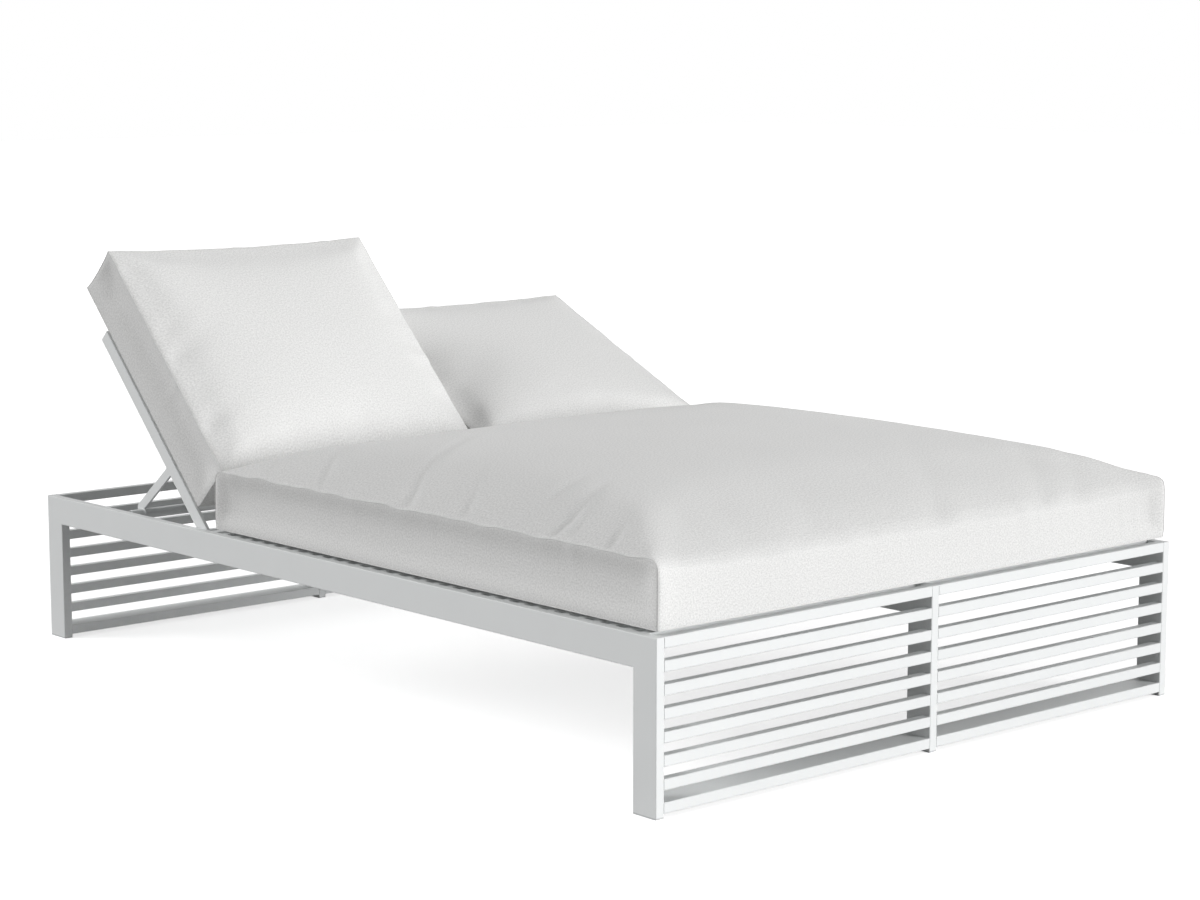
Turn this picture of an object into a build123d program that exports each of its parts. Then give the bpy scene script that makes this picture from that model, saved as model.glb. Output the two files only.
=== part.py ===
"""Double chaise lounger for outdoors: a slatted aluminium frame for two people, one shared
seat mattress and two backrests that recline apart, each with its stay, racks and cushion."""

import os
from math import atan2, cos, degrees, hypot, radians, sin

from build123d import *

os.makedirs("parts", exist_ok=True)

# Whole frame, in millimetres; X is its width, Y runs from the foot end to the head end
overall_width = 1420.0
overall_length = 2030.0
deck_height = 320.0

# Side and middle frames: a rail with two legs mitred to it
rail_depth = 60.0
leg_depth = 60.0
rail_thickness = 20.0
rail_wall = 2.0
rail_corner = 1.4
glide_thickness = 3.0
glide_plug_height = 10.0

# Slats of the deck, the ends and the backrests, all of one square section closed at its welds
slat_size = 20.0
slat_corner = 1.2
end_slat_count = 6
bottom_rail_lift = 8.0
bottom_rail_depth = 60.0

# Backrests: two flat bars with slats between them, hinged on the rails
hinge_from_head = 595.5
hinge_gap = 2.0
backrest_length = 537.0
bar_depth = 30.0
bar_below_hinge = 10.0
bar_thickness = 8.0
bar_corner = 0.8
lowest_slat_from_hinge = 60.0
recline_max_degrees = 45.6
recline_step_degrees = 10.3
raised_position_count = 3
left_step_count = 0
right_step_count = 2

# Hinge bolts and washers
bolt_radius = 5.0
bolt_depth = 8.0
bolt_head_radius = 7.5
bolt_head_height = 4.0
bolt_socket_radius = 2.9
bolt_socket_depth = 2.2
washer_radius = 9.0

# Stays: two arms with a tube across their feet, pinned to brackets under one slat
bracket_from_hinge = 193.0
bracket_thickness = 4.0
bracket_drop = 30.5
bracket_half = 10.0
bracket_corner = 5.5
pin_radius = 4.0
pin_head_radius = 6.5
pin_head_height = 2.2
arm_inset = 31.0
arm_depth = 20.0
arm_thickness = 6.0
arm_blend = 12.0
foot_from_hinge = 278.0
foot_below_deck = 8.0
foot_offset = 16.0
foot_lobe_radius = 14.0
foot_tube_radius = 11.0
foot_tube_wall = 2.0
foot_tube_end_gap = 0.7

# Racks on the rails, and the tabs that the lowered backrests lie on
rack_thickness = 6.0
rack_margin = 3.0
rack_shoulder = 9.0
notch_depth = 2.6
stop_width = 10.0
stop_thickness = 4.0
stop_length = 30.0
stop_from_top = 20.0

# Mattress and cushions
mattress_side_inset = 8.0
mattress_foot_inset = 5.0
mattress_to_hinge = 67.0
mattress_thickness = 132.0
mattress_crown = 72.0
mattress_corner = 16.0
cushion_length = 606.0
cushion_side_inset = 19.5
cushion_middle_gap = 37.0
cushion_shift = 10.5
cushion_thickness = 124.0
cushion_crown = 28.0
cushion_corner = 12.0
cushion_to_mattress = 0.8
mattress_tuck = 15.0
mattress_pull = 4.0
cushion_tuck = 4.0
cushion_pull = 9.0

# Soft forms: heights as shares of the thickness with tucks as shares of the tuck, then
# ways in from the seam as shares of the half width with rises as shares of the crown
side_shares = ((0.0, 1.0), (0.03, 0.55), (0.1, 0.2), (0.28, 0.02), (0.6, 0.0), (0.85, 0.12), (1.0, 0.4))
crown_shares = (
    (0.0, 0.0), (0.03, 0.19), (0.07, 0.42), (0.13, 0.66), (0.22, 0.85), (0.38, 0.97), (0.75, 1.0),
)
crown_corner_share = 0.3
crown_limit_share = 0.7

# Fits
fixed_clearance = 0.3
running_clearance = 0.05
cut_overrun = 1.0

# Places worked out from the sizes
half_width = overall_width / 2
half_length = overall_length / 2
rail_underside = deck_height - rail_depth
top_slat_z = deck_height - slat_size / 2
bottom_rail_z = bottom_rail_lift + slat_size / 2
slat_pitch = (top_slat_z - bottom_rail_z) / (end_slat_count + 1)
end_slat_y = half_length - slat_size / 2
hinge_y = half_length - hinge_from_head
hinge_z = deck_height - bar_below_hinge
bar_top = bar_depth - bar_below_hinge
slat_normal = bar_top - slat_size / 2
outer_face = half_width - rail_thickness
inner_face = rail_thickness / 2
bay_width = outer_face - inner_face
mattress_rear_y = hinge_y - mattress_to_hinge
deck_end_y = hinge_y - hypot(bar_below_hinge, bar_top) - slat_size / 2
deck_slat_count = int((deck_end_y + end_slat_y) / slat_pitch)
top_slat_along = backrest_length - slat_size / 2
backrest_slat_count = int((top_slat_along - lowest_slat_from_hinge) / slat_pitch) + 1
bracket_slat = round((top_slat_along - bracket_from_hinge) / slat_pitch)
bracket_along = top_slat_along - bracket_slat * slat_pitch
bars_inset = hinge_gap + bar_thickness
side_signs = {"left": -1, "right": 1}
step_counts = {"left": left_step_count, "right": right_step_count}


def across(y, z, angle, x):
    """Plane square to X at x, through y and z, its local x turned up from Y by angle"""
    turn = radians(angle)
    return Plane(origin=(x, y, z), x_dir=(0, cos(turn), sin(turn)), z_dir=(1, 0, 0))


def upright(x):
    """Plane square to X at x, with local x along Y and local y along Z"""
    return across(0, 0, 0, x)


def low_x(face, inward, start, thickness):
    """Lower X of a plate that begins start away from a rail's face and stands inward"""
    return min(face + inward * start, face + inward * (start + thickness))


def bay_faces(side):
    """The two rail faces of a bay, each with its name and its direction into the bay"""
    sign = side_signs[side]
    return (("outer", sign * outer_face, -sign), ("inner", sign * inner_face, sign))


def bay_start(side):
    """Lowest X of a bay"""
    return min(face for _, face, _ in bay_faces(side))


def rest_angle(side):
    """Angle that the photographed backrest of this side stands at"""
    return recline_max_degrees - step_counts[side] * recline_step_degrees


def pin_place(angle):
    """Y and Z of the pin between a backrest and its stay, with the backrest at angle"""
    turn = radians(angle)
    drop = slat_normal - bracket_drop
    return (hinge_y + bracket_along * cos(turn) - drop * sin(turn),
            hinge_z + bracket_along * sin(turn) + drop * cos(turn))


# The stay turns down evenly from lying under the flat backrest to standing on its first notch
first_pin_y, first_pin_z = pin_place(recline_max_degrees)
first_run = hinge_y + foot_from_hinge - first_pin_y
first_drop = first_pin_z - deck_height + foot_below_deck
stay_reach = (first_run ** 2 + first_drop ** 2 - foot_offset ** 2) ** 0.5
stay_angle_up = degrees(atan2(foot_offset, stay_reach) - atan2(first_drop, first_run))
stay_ratio = stay_angle_up / recline_max_degrees - 1


def stay_angle(angle):
    """Angle of the stay's arms above level, with the backrest at angle"""
    return stay_angle_up * angle / recline_max_degrees


def foot_place(angle):
    """Y and Z of the foot tube's axis, with the backrest at angle"""
    turn = radians(stay_angle(angle))
    pin_y, pin_z = pin_place(angle)
    return (pin_y + stay_reach * cos(turn) + foot_offset * sin(turn),
            pin_z + stay_reach * sin(turn) - foot_offset * cos(turn))


def under_foot(angle, depth):
    """Point under the foot tube, square to its path and depth below its running surface"""
    y, z = foot_place(angle)
    near_y, near_z = foot_place(angle + running_clearance)
    far_y, far_z = foot_place(angle - running_clearance)
    run = hypot(far_y - near_y, far_z - near_z)
    reach = foot_tube_radius + fixed_clearance + depth
    return (y + reach * (far_z - near_z) / run, z - reach * (far_y - near_y) / run)


def angle_beside(angle, width, turn):
    """Recline angle, on the side that turn points to, whose point lies width from this one's"""
    near, far = 0.0, recline_step_degrees
    home_y, home_z = under_foot(angle, 0)
    for _ in range(40):
        middle = (near + far) / 2
        y, z = under_foot(angle + turn * middle, 0)
        if hypot(y - home_y, z - home_z) < width:
            near = middle
        else:
            far = middle
    return angle + turn * near


# A backrest's cushion slides along it as it reclines, and so stays just behind the mattress
cushion_seat = bar_top + fixed_clearance
cushion_front = cushion_seat + cushion_thickness
cushion_flat_foot = cushion_to_mattress - mattress_to_hinge
cushion_up_foot = ((cushion_front * sin(radians(recline_max_degrees)) + cushion_flat_foot)
                   / cos(radians(recline_max_degrees)))
cushion_slide = (cushion_up_foot - cushion_flat_foot) / recline_max_degrees


def cushion_foot(angle):
    """Distance of a cushion's lower edge along its backrest from the hinge"""
    return cushion_flat_foot + cushion_slide * angle


def outline_arcs(width, length, corner, pull):
    """Start, middle and end of the eight arcs round a soft outline whose sides pull in"""
    half_w, half_l = width / 2, length / 2
    diagonal = corner * (1 - cos(radians(45)))
    arcs = []
    for turn in range(4):
        long, wide = (half_w, half_l) if turn % 2 == 0 else (half_l, half_w)
        points = [
            (long, corner - wide), (long - pull, 0), (long, wide - corner),
            (long - diagonal, wide - diagonal), (long - corner, wide),
        ]
        turned = [rotated(point, turn) for point in points]
        arcs.append((turned[0], turned[1], turned[2]))
        arcs.append((turned[2], turned[3], turned[4]))
    return arcs


def rotated(point, quarter_turns):
    """A point turned about the origin by quarter turns"""
    x, y = point
    for _ in range(quarter_turns):
        x, y = -y, x
    return (x, y)


# Side and middle frames
rails = {
    "left_side_rail": (-half_width + rail_thickness / 2, (1,)),
    "middle_rail": (0, (-1, 1)),
    "right_side_rail": (half_width - rail_thickness / 2, (-1,)),
}
for name, (x, hinge_sides) in rails.items():
    with BuildPart() as rail:
        with BuildSketch(upright(x)):
            with BuildLine():
                Polyline(
                    (-half_length, deck_height), (half_length, deck_height),
                    (half_length - leg_depth, rail_underside),
                    (-half_length + leg_depth, rail_underside), close=True,
                )
            make_face()
        extrude(amount=rail_thickness / 2, both=True)
        chamfer(rail.edges().filter_by(Axis.Y), rail_corner)
        with BuildSketch(upright(x)):
            with Locations((0, deck_height - rail_depth / 2)):
                Rectangle(overall_length, rail_depth - 2 * rail_wall)
        extrude(amount=rail_thickness / 2 - rail_wall, both=True, mode=Mode.SUBTRACT)
        for way in hinge_sides:
            with BuildSketch(across(hinge_y, hinge_z, 0, x + way * rail_thickness / 2)):
                Circle(bolt_radius + running_clearance)
            extrude(amount=-way * (rail_wall + cut_overrun), mode=Mode.SUBTRACT)
    rail.part.label = name
    export_step(rail.part, f"parts/{name}.step")

leg_places = {
    "left": -half_width + rail_thickness / 2, "middle": 0, "right": half_width - rail_thickness / 2,
}
for end, way in {"foot": -1, "head": 1}.items():
    for place, x in leg_places.items():
        with BuildPart() as leg:
            with BuildSketch(upright(x)):
                with BuildLine():
                    Polyline(
                        (way * half_length, glide_thickness), (way * half_length, deck_height),
                        (way * (half_length - leg_depth), rail_underside),
                        (way * (half_length - leg_depth), glide_thickness), close=True,
                    )
                make_face()
            extrude(amount=rail_thickness / 2, both=True)
            chamfer(leg.edges().filter_by(Axis.Z), rail_corner)
            with BuildSketch(upright(x)):
                with Locations((way * (half_length - leg_depth / 2), deck_height / 2)):
                    Rectangle(leg_depth - 2 * rail_wall, deck_height)
            extrude(amount=rail_thickness / 2 - rail_wall, both=True, mode=Mode.SUBTRACT)
        name = f"{place}_{end}_leg"
        leg.part.label = name
        export_step(leg.part, f"parts/{name}.step")

# Glides: a sole under each leg, with a plug up into its tube
glide_places = [
    (x, way * (half_length - leg_depth / 2)) for x in leg_places.values() for way in (-1, 1)
]
with BuildPart() as leg_glides:
    with BuildSketch() as soles:
        with Locations(*glide_places):
            Rectangle(rail_thickness, leg_depth)
        chamfer(soles.vertices(), rail_corner)
    extrude(amount=glide_thickness)
    with BuildSketch(Plane.XY.offset(glide_thickness)):
        with Locations(*glide_places):
            Rectangle(rail_thickness - 2 * (rail_wall + fixed_clearance),
                      leg_depth - 2 * (rail_wall + fixed_clearance))
    extrude(amount=glide_plug_height)
leg_glides.part.label = "leg_glides"
export_step(leg_glides.part, "parts/leg_glides.step")

# Square slats across a bay: the ends' top rails and slats, and the deck's slats
end_slat_heights = [top_slat_z - (step + 1) * slat_pitch for step in range(end_slat_count)]
for side in side_signs:
    tube_groups = {
        f"foot_top_rail_{side}": [(-end_slat_y, top_slat_z)],
        f"head_top_rail_{side}": [(end_slat_y, top_slat_z)],
        f"foot_end_slats_{side}": [(-end_slat_y, z) for z in end_slat_heights],
        f"head_end_slats_{side}": [(end_slat_y, z) for z in end_slat_heights],
        f"deck_slats_{side}": [
            ((step + 1) * slat_pitch - end_slat_y, top_slat_z) for step in range(deck_slat_count)
        ],
    }
    for name, places in tube_groups.items():
        with BuildPart() as tubes:
            with BuildSketch(upright(bay_start(side))) as section:
                with Locations(*places):
                    Rectangle(slat_size, slat_size)
                chamfer(section.vertices(), slat_corner)
            extrude(amount=bay_width)
        tubes.part.label = name
        export_step(tubes.part, f"parts/{name}.step")

# Bottom rails: the frames' flat tube laid down between the legs
for side in side_signs:
    for end, way in {"foot": -1, "head": 1}.items():
        with BuildPart() as bottom_rail:
            with BuildSketch(upright(bay_start(side))) as section:
                with Locations((way * (half_length - bottom_rail_depth / 2), bottom_rail_z)):
                    Rectangle(bottom_rail_depth, slat_size)
                    chamfer(section.vertices(), slat_corner)
                    Rectangle(bottom_rail_depth - 2 * rail_wall, slat_size - 2 * rail_wall,
                              mode=Mode.SUBTRACT)
            extrude(amount=bay_width)
        name = f"{end}_bottom_rail_{side}"
        bottom_rail.part.label = name
        export_step(bottom_rail.part, f"parts/{name}.step")

# Racks: plates on the rails' inner faces, with a notch under the foot tube at each position
rack_top = hinge_z - bar_below_hinge - fixed_clearance
rack_bottom = rail_underside + rack_margin
notch_radius = foot_tube_radius + fixed_clearance
notch_half_width = (notch_radius ** 2 - (notch_radius - notch_depth) ** 2) ** 0.5
first_y, _ = under_foot(recline_max_degrees, 0)
rack_end = under_foot(recline_max_degrees - raised_position_count * recline_step_degrees, 0)
for side in side_signs:
    for edge, face, inward in bay_faces(side):
        with BuildPart() as rack:
            with BuildSketch(upright(low_x(face, inward, 0, rack_thickness))):
                with BuildLine():
                    corner = (first_y - notch_half_width, rack_top)
                    start = (corner[0] - rack_shoulder, rack_bottom)
                    Line(start, (start[0], rack_top))
                    Line((start[0], rack_top), corner)
                    for step in range(raised_position_count):
                        position = recline_max_degrees - step * recline_step_degrees
                        far = under_foot(angle_beside(position, notch_half_width, -1), 0)
                        if step > 0:
                            near = under_foot(angle_beside(position, notch_half_width, 1), 0)
                            Line(corner, near)
                            corner = near
                        ThreePointArc(corner, under_foot(position, notch_depth), far)
                        corner = far
                    Line(corner, rack_end)
                    Line(rack_end, (rack_end[0], rack_bottom))
                    Line((rack_end[0], rack_bottom), start)
                make_face()
            extrude(amount=rack_thickness)
        name = f"{side}_{edge}_rack"
        rack.part.label = name
        export_step(rack.part, f"parts/{name}.step")

# Stop tabs under the lowered backrests' bars
stop_y = hinge_y + backrest_length - stop_from_top - stop_length / 2
with BuildPart() as backrest_stops:
    for side in side_signs:
        for _, face, inward in bay_faces(side):
            with BuildSketch(Plane.XY.offset(rack_top - stop_thickness)):
                with Locations((face + inward * stop_width / 2, stop_y)):
                    Rectangle(stop_width, stop_length)
            extrude(amount=stop_thickness)
backrest_stops.part.label = "backrest_stops"
export_step(backrest_stops.part, "parts/backrest_stops.step")

# Hinge bolts through the bars into the rails, with a socket in each head
bolt_reach = hinge_gap + bar_thickness + fixed_clearance
with BuildPart() as hinge_bolts:
    for side in side_signs:
        for _, face, inward in bay_faces(side):
            with BuildSketch(across(hinge_y, hinge_z, 0, face - inward * bolt_depth)):
                Circle(bolt_radius)
            extrude(amount=inward * (bolt_depth + bolt_reach))
            with BuildSketch(across(hinge_y, hinge_z, 0, face + inward * bolt_reach)):
                Circle(bolt_head_radius)
            extrude(amount=inward * bolt_head_height)
            with BuildSketch(across(hinge_y, hinge_z, 0,
                                    face + inward * (bolt_reach + bolt_head_height))):
                RegularPolygon(bolt_socket_radius, 6)
            extrude(amount=-inward * bolt_socket_depth, mode=Mode.SUBTRACT)
hinge_bolts.part.label = "hinge_bolts"
export_step(hinge_bolts.part, "parts/hinge_bolts.step")

with BuildPart() as hinge_washers:
    for side in side_signs:
        for _, face, inward in bay_faces(side):
            with BuildSketch(across(hinge_y, hinge_z, 0, face)):
                Circle(washer_radius)
                Circle(bolt_radius + running_clearance, mode=Mode.SUBTRACT)
            extrude(amount=inward * (hinge_gap - fixed_clearance))
hinge_washers.part.label = "hinge_washers"
export_step(hinge_washers.part, "parts/hinge_washers.step")

# Backrests, built where the photograph has them
bracket_gap = arm_thickness + 2 * fixed_clearance
foot_diagonal = bar_below_hinge * cos(radians(45))
for side in side_signs:
    angle = rest_angle(side)
    pin_normal = slat_normal - bracket_drop
    for edge, face, inward in bay_faces(side):
        bar_x = low_x(face, inward, hinge_gap, bar_thickness)
        with BuildPart() as bar:
            with BuildSketch(across(hinge_y, hinge_z, angle, bar_x)):
                with BuildLine():
                    Line((-bar_below_hinge, bar_top), (backrest_length, bar_top))
                    Line((backrest_length, bar_top), (backrest_length, -bar_below_hinge))
                    Line((backrest_length, -bar_below_hinge), (0, -bar_below_hinge))
                    ThreePointArc((0, -bar_below_hinge), (-foot_diagonal, -foot_diagonal),
                                  (-bar_below_hinge, 0))
                    Line((-bar_below_hinge, 0), (-bar_below_hinge, bar_top))
                make_face()
            extrude(amount=bar_thickness)
            chamfer(bar.faces().filter_by(Axis.X).edges(), bar_corner)
            with BuildSketch(across(hinge_y, hinge_z, angle, bar_x)):
                Circle(bolt_radius + running_clearance)
            extrude(amount=bar_thickness, mode=Mode.SUBTRACT)
        name = f"{side}_backrest_{edge}_bar"
        bar.part.label = name
        export_step(bar.part, f"parts/{name}.step")

    slat_places = [
        (top_slat_along - step * slat_pitch, slat_normal)
        for step in range(backrest_slat_count)
    ]
    with BuildPart() as backrest_slats:
        slats_start = across(hinge_y, hinge_z, angle, bay_start(side) + bars_inset)
        with BuildSketch(slats_start) as section:
            with Locations(*slat_places):
                Rectangle(slat_size, slat_size)
            chamfer(section.vertices(), slat_corner)
        extrude(amount=bay_width - 2 * bars_inset)
    backrest_slats.part.label = f"{side}_backrest_slats"
    export_step(backrest_slats.part, f"parts/{side}_backrest_slats.step")

    # Brackets: two cheeks under one slat at each end, with the stay's arm between them
    slat_under = slat_normal - slat_size / 2
    with BuildPart() as stay_brackets:
        for _, face, inward in bay_faces(side):
            for start in (arm_inset - fixed_clearance - bracket_thickness,
                          arm_inset + arm_thickness + fixed_clearance):
                cheek_x = low_x(face, inward, start, bracket_thickness)
                with BuildSketch(across(hinge_y, hinge_z, angle, cheek_x)):
                    with BuildLine():
                        left = bracket_along - bracket_half
                        right = bracket_along + bracket_half
                        low = pin_normal - bracket_half
                        Polyline(
                            (left, low + bracket_corner), (left, slat_under), (right, slat_under),
                            (right, low + bracket_corner), (right - bracket_corner, low),
                            (left + bracket_corner, low), close=True,
                        )
                    make_face()
                    with Locations((bracket_along, pin_normal)):
                        Circle(pin_radius + running_clearance, mode=Mode.SUBTRACT)
                extrude(amount=bracket_thickness)
    stay_brackets.part.label = f"{side}_stay_brackets"
    export_step(stay_brackets.part, f"parts/{side}_stay_brackets.step")

    pin_y, pin_z = pin_place(angle)
    pin_length = bracket_gap + 2 * bracket_thickness
    with BuildPart() as stay_pins:
        for _, face, inward in bay_faces(side):
            pin_x = low_x(face, inward, arm_inset - fixed_clearance - bracket_thickness, pin_length)
            with BuildSketch(across(pin_y, pin_z, 0, pin_x)):
                Circle(pin_radius)
            extrude(amount=pin_length)
            head_x = pin_x if inward > 0 else pin_x + pin_length
            with BuildSketch(across(pin_y, pin_z, 0, head_x)):
                Circle(pin_head_radius)
            extrude(amount=-inward * pin_head_height)
    stay_pins.part.label = f"{side}_stay_pins"
    export_step(stay_pins.part, f"parts/{side}_stay_pins.step")

    # Stay: arms from the pins to the foot tube that lies over the racks
    for edge, face, inward in bay_faces(side):
        arm_x = low_x(face, inward, arm_inset, arm_thickness)
        with BuildPart() as arm:
            with BuildSketch(across(pin_y, pin_z, stay_angle(angle), arm_x)) as outline:
                with Locations((stay_reach / 2, 0)):
                    Rectangle(stay_reach, arm_depth)
                Circle(arm_depth / 2)
                with Locations((stay_reach, 0)):
                    Circle(arm_depth / 2)
                with Locations((stay_reach, -foot_offset)):
                    Circle(foot_lobe_radius)
                crook = outline.vertices().sort_by_distance(
                    outline.workplanes[0].from_local_coords(
                        Vector(stay_reach - foot_lobe_radius, -arm_depth / 2)))[0]
                fillet(crook, arm_blend)
                Circle(pin_radius + running_clearance, mode=Mode.SUBTRACT)
                with Locations((stay_reach, -foot_offset)):
                    Circle(foot_tube_radius + running_clearance, mode=Mode.SUBTRACT)
            extrude(amount=arm_thickness)
        name = f"{side}_stay_{edge}_arm"
        arm.part.label = name
        export_step(arm.part, f"parts/{name}.step")

    foot_y, foot_z = foot_place(angle)
    with BuildPart() as foot_tube:
        with BuildSketch(across(foot_y, foot_z, 0, bay_start(side) + foot_tube_end_gap)):
            Circle(foot_tube_radius)
            Circle(foot_tube_radius - foot_tube_wall, mode=Mode.SUBTRACT)
        extrude(amount=bay_width - 2 * foot_tube_end_gap)
    foot_tube.part.label = f"{side}_stay_foot_tube"
    export_step(foot_tube.part, f"parts/{side}_stay_foot_tube.step")

# Soft pieces: each has its base plane, its size and the thickness up to its top seam
mattress_length = mattress_rear_y + half_length - mattress_foot_inset
mattress_middle_y = mattress_rear_y - mattress_length / 2
cushion_width = half_width - cushion_side_inset - cushion_middle_gap / 2
soft_pieces = {
    "seat_mattress": (
        Plane(origin=(0, mattress_middle_y, deck_height + fixed_clearance)),
        overall_width - 2 * mattress_side_inset, mattress_length,
        mattress_thickness, mattress_crown, mattress_corner, mattress_tuck, mattress_pull,
    ),
}
for side, sign in side_signs.items():
    angle = rest_angle(side)
    turn = radians(angle)
    along = cushion_foot(angle) + cushion_length / 2
    soft_pieces[f"{side}_back_cushion"] = (
        Plane(
            origin=(sign * (cushion_middle_gap + cushion_width) / 2 + cushion_shift,
                    hinge_y + along * cos(turn) - cushion_seat * sin(turn),
                    hinge_z + along * sin(turn) + cushion_seat * cos(turn)),
            x_dir=(1, 0, 0), z_dir=(0, -sin(turn), cos(turn)),
        ),
        cushion_width, cushion_length, cushion_thickness, cushion_crown, cushion_corner,
        cushion_tuck, cushion_pull,
    )
for name, (base, width, length, thickness, crown, corner, tuck_in, pull) in soft_pieces.items():
    with BuildPart() as cushion:
        for height_share, tuck_share in side_shares:
            tuck = tuck_share * tuck_in
            with BuildSketch(base.offset(height_share * thickness)):
                with BuildLine():
                    for arc in outline_arcs(width - 2 * tuck, length - 2 * tuck, corner, pull):
                        ThreePointArc(*arc)
                make_face()
        loft(ruled=True)
        seam = side_shares[-1][1] * tuck_in
        half_short = min(width, length) / 2 - seam
        for way_in_share, rise_share in crown_shares:
            inset = seam + way_in_share * half_short
            round_over = min(corner + way_in_share * half_short * crown_corner_share,
                             (1 - way_in_share) * half_short * crown_limit_share)
            with BuildSketch(base.offset(thickness + rise_share * crown)):
                with BuildLine():
                    for arc in outline_arcs(width - 2 * inset, length - 2 * inset,
                                            round_over, pull):
                        ThreePointArc(*arc)
                make_face()
        loft(ruled=True)
    cushion.part.label = name
    export_step(cushion.part, f"parts/{name}.step")

print("hinge", hinge_y, hinge_z)
print("stay pins", {side: pin_place(rest_angle(side)) for side in side_signs})
print("stay foot tubes", {side: foot_place(rest_angle(side)) for side in side_signs})
print("stay turn per backrest turn", stay_ratio)
print("cushion slide per degree", cushion_slide)
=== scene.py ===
"""Double chaise lounger: finishes for its frame, its mattress and back cushions, and its studio."""

from math import pi, radians

import bmesh
import bpy
import numpy as np
from bpy.props import FloatProperty, FloatVectorProperty, IntProperty, PointerProperty
from mathutils import Matrix, Vector


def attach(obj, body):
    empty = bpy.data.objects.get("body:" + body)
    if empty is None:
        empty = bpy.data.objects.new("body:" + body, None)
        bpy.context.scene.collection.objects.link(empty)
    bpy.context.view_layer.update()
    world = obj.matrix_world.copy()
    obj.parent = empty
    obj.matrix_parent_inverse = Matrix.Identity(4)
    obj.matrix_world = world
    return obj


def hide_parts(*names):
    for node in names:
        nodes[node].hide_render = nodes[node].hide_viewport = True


bl_info = {
    "name": "Double Chaise Lounger",
    "version": (1, 0, 0),
    "blender": (4, 5, 0),
    "location": "View3D > Sidebar > Lounger",
    "description": "Finishes, mattress, back cushions and studio of a double chaise lounger",
    "category": "Object",
}

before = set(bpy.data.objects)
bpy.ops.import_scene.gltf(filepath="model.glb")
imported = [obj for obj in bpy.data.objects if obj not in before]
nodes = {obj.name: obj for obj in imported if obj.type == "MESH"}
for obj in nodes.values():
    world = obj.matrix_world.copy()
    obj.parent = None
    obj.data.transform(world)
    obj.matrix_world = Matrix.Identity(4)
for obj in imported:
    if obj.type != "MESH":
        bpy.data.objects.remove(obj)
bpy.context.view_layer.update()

MM = 0.001

# The backrests' hinge axis and the angles that they stand at as loaded
hinge_y = 419.5 * MM
hinge_z = 310.0 * MM
left_recline = 45.6
right_recline = 25.0


def linear(hex_colour):
    """Linear RGB of an sRGB hex colour"""
    channels = (int(hex_colour[place:place + 2], 16) / 255 for place in (1, 3, 5))
    return tuple(c / 12.92 if c <= 0.04045 else ((c + 0.055) / 1.055) ** 2.4 for c in channels)


class LoungerFinishes(bpy.types.PropertyGroup):
    """Colours and surface sizes"""
    powder_coat: FloatVectorProperty(
        name="Powder coat", description="Colour of the coated aluminium frame",
        subtype="COLOR", size=3, min=0, max=1, default=linear("#E8EAEA"))
    yarn_pale: FloatVectorProperty(
        name="Pale yarn", description="Lighter yarn of the outdoor fabric",
        subtype="COLOR", size=3, min=0, max=1, default=linear("#F1F1F0"))
    yarn_dark: FloatVectorProperty(
        name="Dark yarn", description="Darker yarn of the outdoor fabric",
        subtype="COLOR", size=3, min=0, max=1, default=linear("#D6D6D5"))
    yarn_pitch: FloatProperty(
        name="Yarn pitch", description="Distance between neighbouring yarns as drawn",
        subtype="DISTANCE", unit="LENGTH", min=0.0005, default=2.4 * MM)
    coat_grain: FloatProperty(
        name="Coat grain", description="Size of the powder coat's orange peel",
        subtype="DISTANCE", unit="LENGTH", min=0.0005, default=1.6 * MM)


class LoungerCushions(bpy.types.PropertyGroup):
    """Sizes of the mattress and the back cushions"""
    mattress_cell: FloatProperty(
        name="Mattress cell",
        description="Side of a quad of the mattress cover before it is smoothed",
        subtype="DISTANCE", unit="LENGTH", min=0.004, default=10.5 * MM)
    cushion_cell: FloatProperty(
        name="Cushion cell",
        description="Side of a quad of a back cushion's cover before it is smoothed",
        subtype="DISTANCE", unit="LENGTH", min=0.004, default=8 * MM)
    pressure: FloatProperty(
        name="Filling pressure", description="Pressure of the filling against the cover",
        min=0, default=4.0)
    frames: IntProperty(
        name="Settling frames", description="Frames that the cover is given to settle",
        min=2, default=20)
    seam_depth: FloatProperty(
        name="Seam depth", description="Depth that a sewn seam draws the cover in",
        subtype="DISTANCE", unit="LENGTH", min=0, default=1.8 * MM)
    seam_radius: FloatProperty(
        name="Seam ridge", description="Radius of the ridge of turned-in cloth along a seam",
        subtype="DISTANCE", unit="LENGTH", min=0, default=1.0 * MM)
    gather_depth: FloatProperty(
        name="Gathers", description="Height of the ripples that a seam gathers beside it",
        subtype="DISTANCE", unit="LENGTH", min=0, default=1.0 * MM)


class LoungerStudio(bpy.types.PropertyGroup):
    """Camera and lights"""
    lens: FloatProperty(
        name="Lens", description="Focal length of the camera, in millimetres",
        unit="CAMERA", min=10, default=82.99)
    key_strength: FloatProperty(
        name="Key light", description="Strength of the low, soft light from the front",
        min=0, default=3.05)
    fill_strength: FloatProperty(
        name="Fill light", description="Strength of the soft light from the left rear",
        min=0, default=1.85)
    sky_strength: FloatProperty(
        name="Sky", description="Strength of the even light from all round",
        min=0, default=0.24)


def add(tree, kind, inputs=None, **settings):
    """A node of that kind in a tree, with its inputs set or linked and its settings made"""
    node = tree.nodes.new(kind)
    for name, value in settings.items():
        setattr(node, name, value)
    for name, value in (inputs or {}).items():
        if isinstance(value, bpy.types.NodeSocket):
            tree.links.new(value, node.inputs[name])
        else:
            node.inputs[name].default_value = value
    return node


def new_material(name, **shader):
    """A material with a Principled shader set as given, its tree and its shader node"""
    material = bpy.data.materials.new(name)
    material.use_nodes = True
    tree = material.node_tree
    principled = tree.nodes["Principled BSDF"]
    for socket, value in shader.items():
        principled.inputs[socket.replace("_", " ")].default_value = value
    return material, tree, principled


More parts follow.
